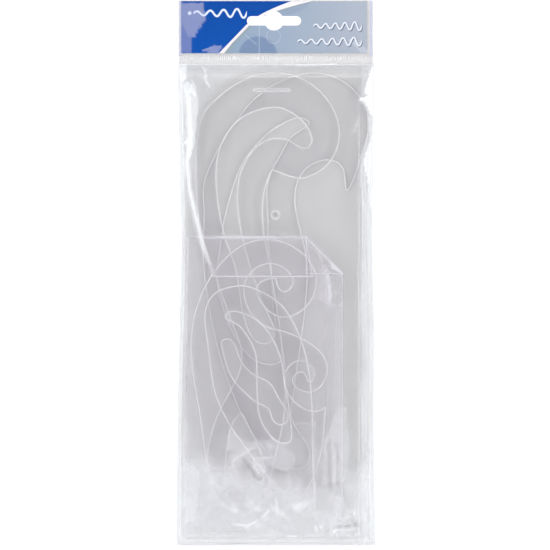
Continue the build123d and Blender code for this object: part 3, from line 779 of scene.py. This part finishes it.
# %% [markdown]
# ## The film sleeve over the card
#
# The sleeve has the hang slot cut through it, and that cut is already exact in the CAD model. So a copy
# of that node is merged, cut into a fine net by parallel planes, and only then lifted into shallow
# waves: the slot keeps its shape. The haze is where the loose film mirrors the room over the blue print.

# %% Sleeve films

NET = 1.2  # distance between the cuts, in millimetres
# The corners of each patch that mirrors the room, and how white it is.
GLARE = [
    ([(-56.4, 162.4), (-43, 162.4), (-42.4, 152), (-46.6, 146), (-48.5, 142.4), (-52.6, 142.4),
      (-56.4, 150)], 0.24),
    ([(-56.4, 150), (-52.6, 142.4), (-50.5, 142.4), (-51, 132.6), (-56.4, 132.6)], 0.15),
    ([(-47.8, 133), (-37, 136.6), (-32.4, 136.6), (-34, 132.6)], 0.24),
]


def sleeve_film(name, node, material, lift, hazed):
    """hazed is 1 for a film with glare and whiter sides, and 0 for a plain one."""
    bm = bmesh.new()
    bm.from_mesh(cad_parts[node].data)
    bmesh.ops.remove_doubles(bm, verts=bm.verts, dist=1e-6)
    low, high = box_mm(node)
    for axis in (0, 1):
        for cut in np.arange(low[axis] + NET, high[axis], NET):
            normal = Vector((axis == 0, axis == 1, 0))
            bmesh.ops.bisect_plane(bm, geom=bm.verts[:] + bm.edges[:] + bm.faces[:],
                                   plane_co=normal * float(cut) * MM, plane_no=normal, dist=1e-7)
    flat = np.array([v.co for v in bm.verts]) / MM
    x, y = flat[:, 0], flat[:, 1]
    wave = lift * (1 + 0.5 * facets(x, y, (17, 9), 21) + 0.5 * facets(x, y, (6, 14), 22))
    haze_and_highlight = np.full(x.shape, 0.002)
    for corners, white in GLARE if hazed else []:
        haze_and_highlight = np.maximum(haze_and_highlight, white * patch(x, y, corners))
    edge = np.minimum(x - low[0], high[0] - x)
    haze_and_highlight += hazed * (1 - smooth(edge, 1.4, 2.2)) * 0.25
    layer = bm.verts.layers.float.new("haze_and_highlight")
    for v, height, white in zip(bm.verts, wave, haze_and_highlight):
        v.co.z += height * MM
        v[layer] = white
    mesh = bpy.data.meshes.new(name)
    bm.to_mesh(mesh)
    bm.free()
    piece = bpy.data.objects.new(name, mesh)
    bpy.context.scene.collection.objects.link(piece)
    mesh.materials.append(material)
    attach(piece, "bag")
    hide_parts(node)
    print(name, len(mesh.polygons), "faces")


sleeve_film("sleeve_film_front", "header_film_front", FILM_SLEEVE, 0.14, 1)
sleeve_film("sleeve_film_back", "header_film_back", FILM_OUTER, 0.0, 0)

# %% [markdown]
# ## The inner bag
#
# The inner bag is softer polyethylene with a faint lavender cast. It is modelled film by film: the back,
# the front over the two small templates, the flap that hangs down from the top fold, and the corner
# that is turned down along a slanting fold. The slanting fold shapes all of them, so it comes first,
# with the lists of painted highlights along folds and in patches.

# %% The slanting fold and the painted highlights

FOLD_START = (CORNER_LOW[0], INNER_HIGH[1])
FOLD_END = (WELD_HIGH[0], CORNER_LOW[1])


def corner_cut(x, y):
    """How far a place lies inside the inner bag's slanting fold, in millimetres."""
    ux, uy = FOLD_END[0] - FOLD_START[0], FOLD_END[1] - FOLD_START[1]
    length = math.hypot(ux, uy)
    return ((x - FOLD_START[0]) * uy - (y - FOLD_START[1]) * ux) / length


def pull_to_corner(x, y):
    """Moves what lies past the slanting fold straight down onto it."""
    past = np.minimum(corner_cut(x, y), 0)
    slope = (FOLD_END[1] - FOLD_START[1]) / (FOLD_END[0] - FOLD_START[0])
    return np.where(past < 0, np.minimum(y, FOLD_START[1] + slope * (x - FOLD_START[0])), y)


def edge_line(away, width, strength):
    """Haze that falls from its strength at an edge to nothing at its width."""
    return strength * np.clip(1 - away / width, 0, 1)


# Painted highlights along the inner bag's folds: the points, half width and whiteness of each.
INNER_FOLD_HIGHLIGHTS = [
    ([(29.4, 4), (31.4, -4), (32.2, -12), (31.6, -20)], 2.2, 0.6),
    ([(28.2, -4), (30, -20), (29.4, -60), (30.6, -120)], 0.9, 0.10),
    ([(36.5, -20), (35.6, -70), (36.8, -128)], 2.2, 0.08),
    ([(9, -89.2), (27.5, -89.2)], 0.8, 0.2),
    ([(33.7, -11.1), (39.8, -11.1)], 0.8, 0.25),
    ([(32, -18.9), (41, -18.9)], 0.9, 0.3),
    ([(22.6, -76), (23, -100), (22.8, -128)], 1.1, 0.2),
]
# Patches of painted highlight: the corners and whiteness of each.
INNER_HIGHLIGHT_PATCHES = [
    ([(25.4, 6), (29.6, 5), (33.7, -14), (29.6, -17.7), (24.8, -16), (24.2, -1)], 0.12),
    ([(32, -18.9), (41, -18.9), (41, -60), (38, -110), (31, -110)], 0.05),
]
print("slanting fold from", [round(v, 1) for v in FOLD_START], "to", [round(v, 1) for v in FOLD_END])

# %% [markdown]
# The front film lies high over the two small templates and drops in a long narrow strip on the right,
# where nothing lies under it. A fold or a cut edge shows as a fine bright line, so both films are
# whiter close to their own edges.

# %% Inner bag, front and back


def inner_front(x, y):
    y = pull_to_corner(x, y)
    cut = corner_cut(x, y)
    top = np.minimum(INNER_HIGH[1] - y, cut)
    sides = np.minimum(x - INNER_LOW[0], INNER_HIGH[0] - x)
    foot = y - INNER_LOW[1]
    rise = INNER_HIGH[2] - INNER_LOW[2] - 0.02
    z = np.minimum(np.minimum(wall(top, 2.0, rise), wall(sides, 2.6, rise)), wall(foot, 5.0, rise))
    z = z + INNER_LOW[2]
    loose = smooth(y, -150, -140) * (1 - smooth(y, -10, -3))
    z = z + 0.14 * loose * smooth(sides, 1, 4) * (1 + facets(x, y, (7, 26), 31))
    right = smooth(x, 33.5, 35.5)
    drop = right * smooth(np.minimum(top, sides), 2, 5) * smooth(foot, 2, 6)
    z = z - drop * 1.2 * (1 + facets(x, y, (3, 30), 32))
    haze_and_highlight = 0.02 + 0.01 * facets(x, y, (13, 22), 33)
    rim = 1 - smooth(np.minimum(top, sides), 0.5, 1.0)
    haze_and_highlight += 0.5 * rim * (0.7 + 0.3 * facets(x, y, (9, 9), 34))
    haze_and_highlight += right * 0.07 * (1 + 0.6 * facets(x, y, (2.4, 30), 35))
    # Painted highlights along the listed folds and in the listed patches.
    for points, width, white in INNER_FOLD_HIGHLIGHTS:
        haze_and_highlight += white * fold(x, y, points, width)
    for corners, white in INNER_HIGHLIGHT_PATCHES:
        haze_and_highlight += white * patch(x, y, corners)
    return x, y, z, np.clip(haze_and_highlight, 0, 0.8)


def inner_back(x, y):
    y = pull_to_corner(x, y)
    haze_and_highlight = 0.01 + edge_line(np.minimum(INNER_HIGH[1] - y, corner_cut(x, y)), 0.6, 0.12)
    return x, y, np.full(x.shape, INNER_LOW[2]), haze_and_highlight


inner_low, inner_high = (INNER_LOW[0], INNER_LOW[1]), (INNER_HIGH[0], INNER_HIGH[1])
film_piece("inner_bag_front", inner_low, inner_high, 1.0, inner_front, FILM_INNER, "inner_bag",
           ["inner_film_front"])
film_piece("inner_bag_back", inner_low, inner_high, 2.0, inner_back, FILM_INNER, "inner_bag",
           ["inner_film_back"])

# %% [markdown]
# The flap is one film that wraps round the bag's top fold. Its grid is longer than the flap itself: the
# part above the fold is bent over in half a turn. Its sides run in towards its lower edge on the left,
# and out on the right.

# %% Inner bag, flap

TURN = 4.2  # length of film that goes round the fold
LEFT_IN, RIGHT_OUT = 7.8, 4.2  # how far the flap's lower corners lie from its upper ones


def flap(x, y):
    """The flap, with its top edge wrapped round the fold and down to the back film."""
    drop = FLAP_HIGH[1] - y
    past = np.clip(-drop, 0, TURN)
    taper = np.clip(drop, 0, None) / (FLAP_HIGH[1] - FLAP_LOW[1])
    left, right = FLAP_LOW[0], FOLD_START[0]
    share = (x - left) / (FLAP_HIGH[0] - left)
    x = left + LEFT_IN * taper + share * (right - left + (RIGHT_OUT - LEFT_IN) * taper)
    turn = past / TURN * math.pi
    waves = 0.1 * smooth(drop, 1, 4) * (0.5 + 0.5 * facets(x, y, (12, 9), 41))
    z = FLAP_HIGH[2] - TURN / 2 * (1 - np.cos(turn)) + waves
    z = np.where(past > 0, z, np.minimum(z, FLAP_HIGH[2] + 0.15))
    y = np.where(past > 0, FLAP_HIGH[1] - 0.1 + 0.7 * np.sin(turn), y)
    sides = np.minimum(x - (left + LEFT_IN * taper), (right + RIGHT_OUT * taper) - x)
    foot = y - FLAP_LOW[1]
    bright = 0.5 + 0.5 * smooth(x, -38, -30) * (1 - smooth(x, -4, 2))
    haze_and_highlight = 0.035 + edge_line(np.abs(drop - 1.0), 1.2, 0.7) * bright + edge_line(sides, 1.0, 0.4)
    haze_and_highlight += edge_line(foot, 1.1, 0.7)
    return x, y, z, np.clip(haze_and_highlight, 0, 0.8)


film_piece("inner_bag_flap", (FLAP_LOW[0], FLAP_LOW[1]), (FLAP_HIGH[0], FLAP_HIGH[1] + TURN), 0.7, flap,
           FILM_INNER, "inner_bag", ["inner_flap"])

# %% [markdown]
# The turned-down corner is the bag's own corner, mirrored in the slanting fold. One narrow strip along
# the fold has a painted highlight that makes it nearly white, where a facet would catch a lamp.

# %% Inner bag, corner


def corner_fold(x, y):
    """A triangle: the grid's right side is drawn in to one point, and its left side is the slanting fold."""
    across = (x - CORNER_LOW[0]) / (CORNER_HIGH[0] - CORNER_LOW[0])
    down = (CORNER_HIGH[1] - y) / (CORNER_HIGH[1] - CORNER_LOW[1])
    start, end = np.array(FOLD_START), np.array(FOLD_END)
    unit = (end - start) / np.linalg.norm(end - start)
    corner = np.array([FOLD_END[0], FOLD_START[1]]) - start
    turned = start + 2 * unit * corner.dot(unit) - corner
    on_fold = start[:, None] + (end - start)[:, None] * down
    place = on_fold + (turned[:, None] - on_fold) * across
    edge = np.minimum(np.minimum(down, 1 - down) * (1 - across) * 24, across * 15)
    z = CORNER_HIGH[2] - 0.15 * np.clip(1 - across * 15 / 0.6, 0, 1)
    haze_and_highlight = 0.02 + edge_line(edge, 1.0, 0.6)
    # A painted highlight makes this strip along the fold nearly white.
    haze_and_highlight += 0.95 * patch(place[0], place[1], [(30.2, 12.5), (33.2, 3), (41, -1), (34, 8.5)])
    haze_and_highlight += 0.3 * patch(place[0], place[1], [(24.6, 12.6), (26.4, 10), (28.4, 6), (27, 7), (25, 10.6)])
    return place[0], place[1], z, np.clip(haze_and_highlight, 0, 0.97)


film_piece("inner_bag_corner", (CORNER_LOW[0], CORNER_LOW[1]), (CORNER_HIGH[0], CORNER_HIGH[1]), 0.4,
           corner_fold, FILM_INNER, "inner_bag", ["inner_corner_fold"])

# %% [markdown]
# The inner bag's weld runs down both sides and along the bottom. It is one narrow ribbon, a little
# wavy. It is thinner and much clearer than the outer seams.

# %% Inner weld

WELD = 0.6  # width of the ribbon
DOWN_RIGHT, DOWN_LEFT = FOLD_END[1] - WELD_LOW[1], INNER_HIGH[1] - WELD_LOW[1]
ALONG = WELD_HIGH[0] - WELD_LOW[0]


def inner_weld(across, run):
    """One ribbon: the grid's length runs down the right side, along the bottom and up the left side."""
    right, left, foot = WELD_HIGH[0], WELD_LOW[0], WELD_LOW[1]
    on_right, on_foot = run < DOWN_RIGHT, run < DOWN_RIGHT + ALONG
    x = np.where(on_right, right - across, np.where(on_foot, right - (run - DOWN_RIGHT), left + across))
    y = np.where(on_foot, foot + across, foot + run - DOWN_RIGHT - ALONG)
    y = np.where(on_right, FOLD_END[1] - run, y)
    x, y = np.clip(x, left + across, right - across), np.maximum(y, foot + across)
    return x, y, 4.2 + 0.05 * facets(x, y, (5, 9), 51), np.zeros(x.shape)


WELDED_INNER = seam_material("welded_polyethylene_seam", "#F8F7FC", 0.08)
film_piece("inner_bag_welds", (0.0, 0.0), (WELD, DOWN_RIGHT + ALONG + DOWN_LEFT), 0.6, inner_weld,
           WELDED_INNER, "inner_bag", ["inner_weld"], thickness=0.15)

# %% [markdown]
# ## Floor and light
#
# The pack lies on a plain white sweep under soft light from all four sides, as small clear goods are
# shot. The sky is darker straight above, so flat film mirrors something dim and stays clear. Only
# tilted creases catch the softboxes, and a bright belt of sky that lies at the same height all round.

# %% Floor and light

LAMP_HEIGHT, LAMP_AWAY, LAMP_WATTS = 0.82, 0.57, 1.2
BELT_HEIGHT, BELT_REACH = 0.53, 0.1  # sine of the angle above the horizon, and how far it spreads


def floor():
    mesh = bpy.data.meshes.new("floor")
    bm = bmesh.new()
    bmesh.ops.create_grid(bm, x_segments=1, y_segments=1, size=3.0)
    bmesh.ops.translate(bm, verts=bm.verts, vec=(0, 0, -0.00005))
    bm.to_mesh(mesh)
    bm.free()
    piece = bpy.data.objects.new("floor", mesh)
    bpy.context.scene.collection.objects.link(piece)
    material, tree = new_material("white_paper_sweep")
    place = add(tree, "TexCoord").outputs["Object"]
    grain = add(tree, "TexNoise", Vector=place, Scale=67.0).outputs["Fac"]  # paper that is mottled by the 15 mm
    colour = over(tree, linear("#FBFBFB"), linear("#F6F6F6"), grain)
    finish_material(tree, add(tree, "BsdfDiffuse", Color=colour).outputs[0])
    mesh.materials.append(material)


def softbox(name, x, y, size):
    """A rectangular lamp that faces the middle of the pack."""
    place = (x, y, LAMP_HEIGHT)
    light = bpy.data.lights.new(name, "AREA")
    light.shape = "RECTANGLE"
    light.size, light.size_y = size
    light.energy = LAMP_WATTS
    lamp = bpy.data.objects.new(name, light)
    bpy.context.scene.collection.objects.link(lamp)
    lamp.location = place
    lamp.rotation_mode = "QUATERNION"
    lamp.rotation_quaternion = (-Vector(place)).to_track_quat("-Z", "Y")


def sky(dim, bright, ring):
    """dim is the sky straight above, bright the rest of it, and ring what the belt adds."""
    world = bpy.data.worlds.new("studio")
    bpy.context.scene.world = world
    world.use_nodes = True
    tree = world.node_tree
    tree.nodes.clear()
    up = add(tree, "SeparateXYZ", in0=add(tree, "TexCoord").outputs["Generated"]).outputs[2]
    ramp = add(tree, "MapRange", {"interpolation_type": "SMOOTHSTEP"},
               Value=up, From_Min=0.8, From_Max=0.985, To_Min=bright, To_Max=dim)
    off = maths(tree, "ABSOLUTE", maths(tree, "SUBTRACT", up, BELT_HEIGHT))
    belt = maths(tree, "SUBTRACT", 1.0, beyond(tree, off, BELT_REACH, 0.03))
    strength = maths(tree, "MULTIPLY_ADD", belt, ring, ramp.outputs[0])
    background = add(tree, "Background", Color=linear("#FFFFFF"), Strength=strength)
    add(tree, "OutputWorld", Surface=background.outputs[0])


floor()
sky(0.33, 0.7, 2.2)
softbox("softbox_left", -LAMP_AWAY, 0.05, (0.35, 0.25))
softbox("softbox_right", LAMP_AWAY, 0.0, (0.35, 0.25))
softbox("softbox_top", 0.05, LAMP_AWAY, (0.25, 0.35))
softbox("softbox_near", -0.05, -LAMP_AWAY, (0.25, 0.35))
print("four softboxes of", LAMP_WATTS, "W,", LAMP_HEIGHT, "m up")

# %% [markdown]
# ## Camera
#
# The camera looks straight down through a long lens, so the pack's sides hardly show. Light crosses
# dozens of clear surfaces in the deepest stack, so the limit on transparent bounces is raised.

# %% Camera

LENS, SENSOR = 100.0, 36.0
FRAME_WIDTH, FRAME_HEIGHT = 330.0, 0.5  # what the frame takes in, and at which height, in millimetres
camera = bpy.data.objects.new("camera", bpy.data.cameras.new("camera"))
bpy.context.scene.collection.objects.link(camera)
camera.data.lens = LENS
middle = 0.5 * (SEAM_LEFT + SEAM_RIGHT) - 0.45
camera.location = (middle * MM, -0.9 * MM, (FRAME_WIDTH / SENSOR * LENS + FRAME_HEIGHT) * MM)
bpy.context.scene.camera = camera
bpy.context.scene.view_settings.view_transform = "Standard"
bpy.context.scene.cycles.transparent_max_bounces = 96
print("camera height", round(camera.location.z, 3), "m")
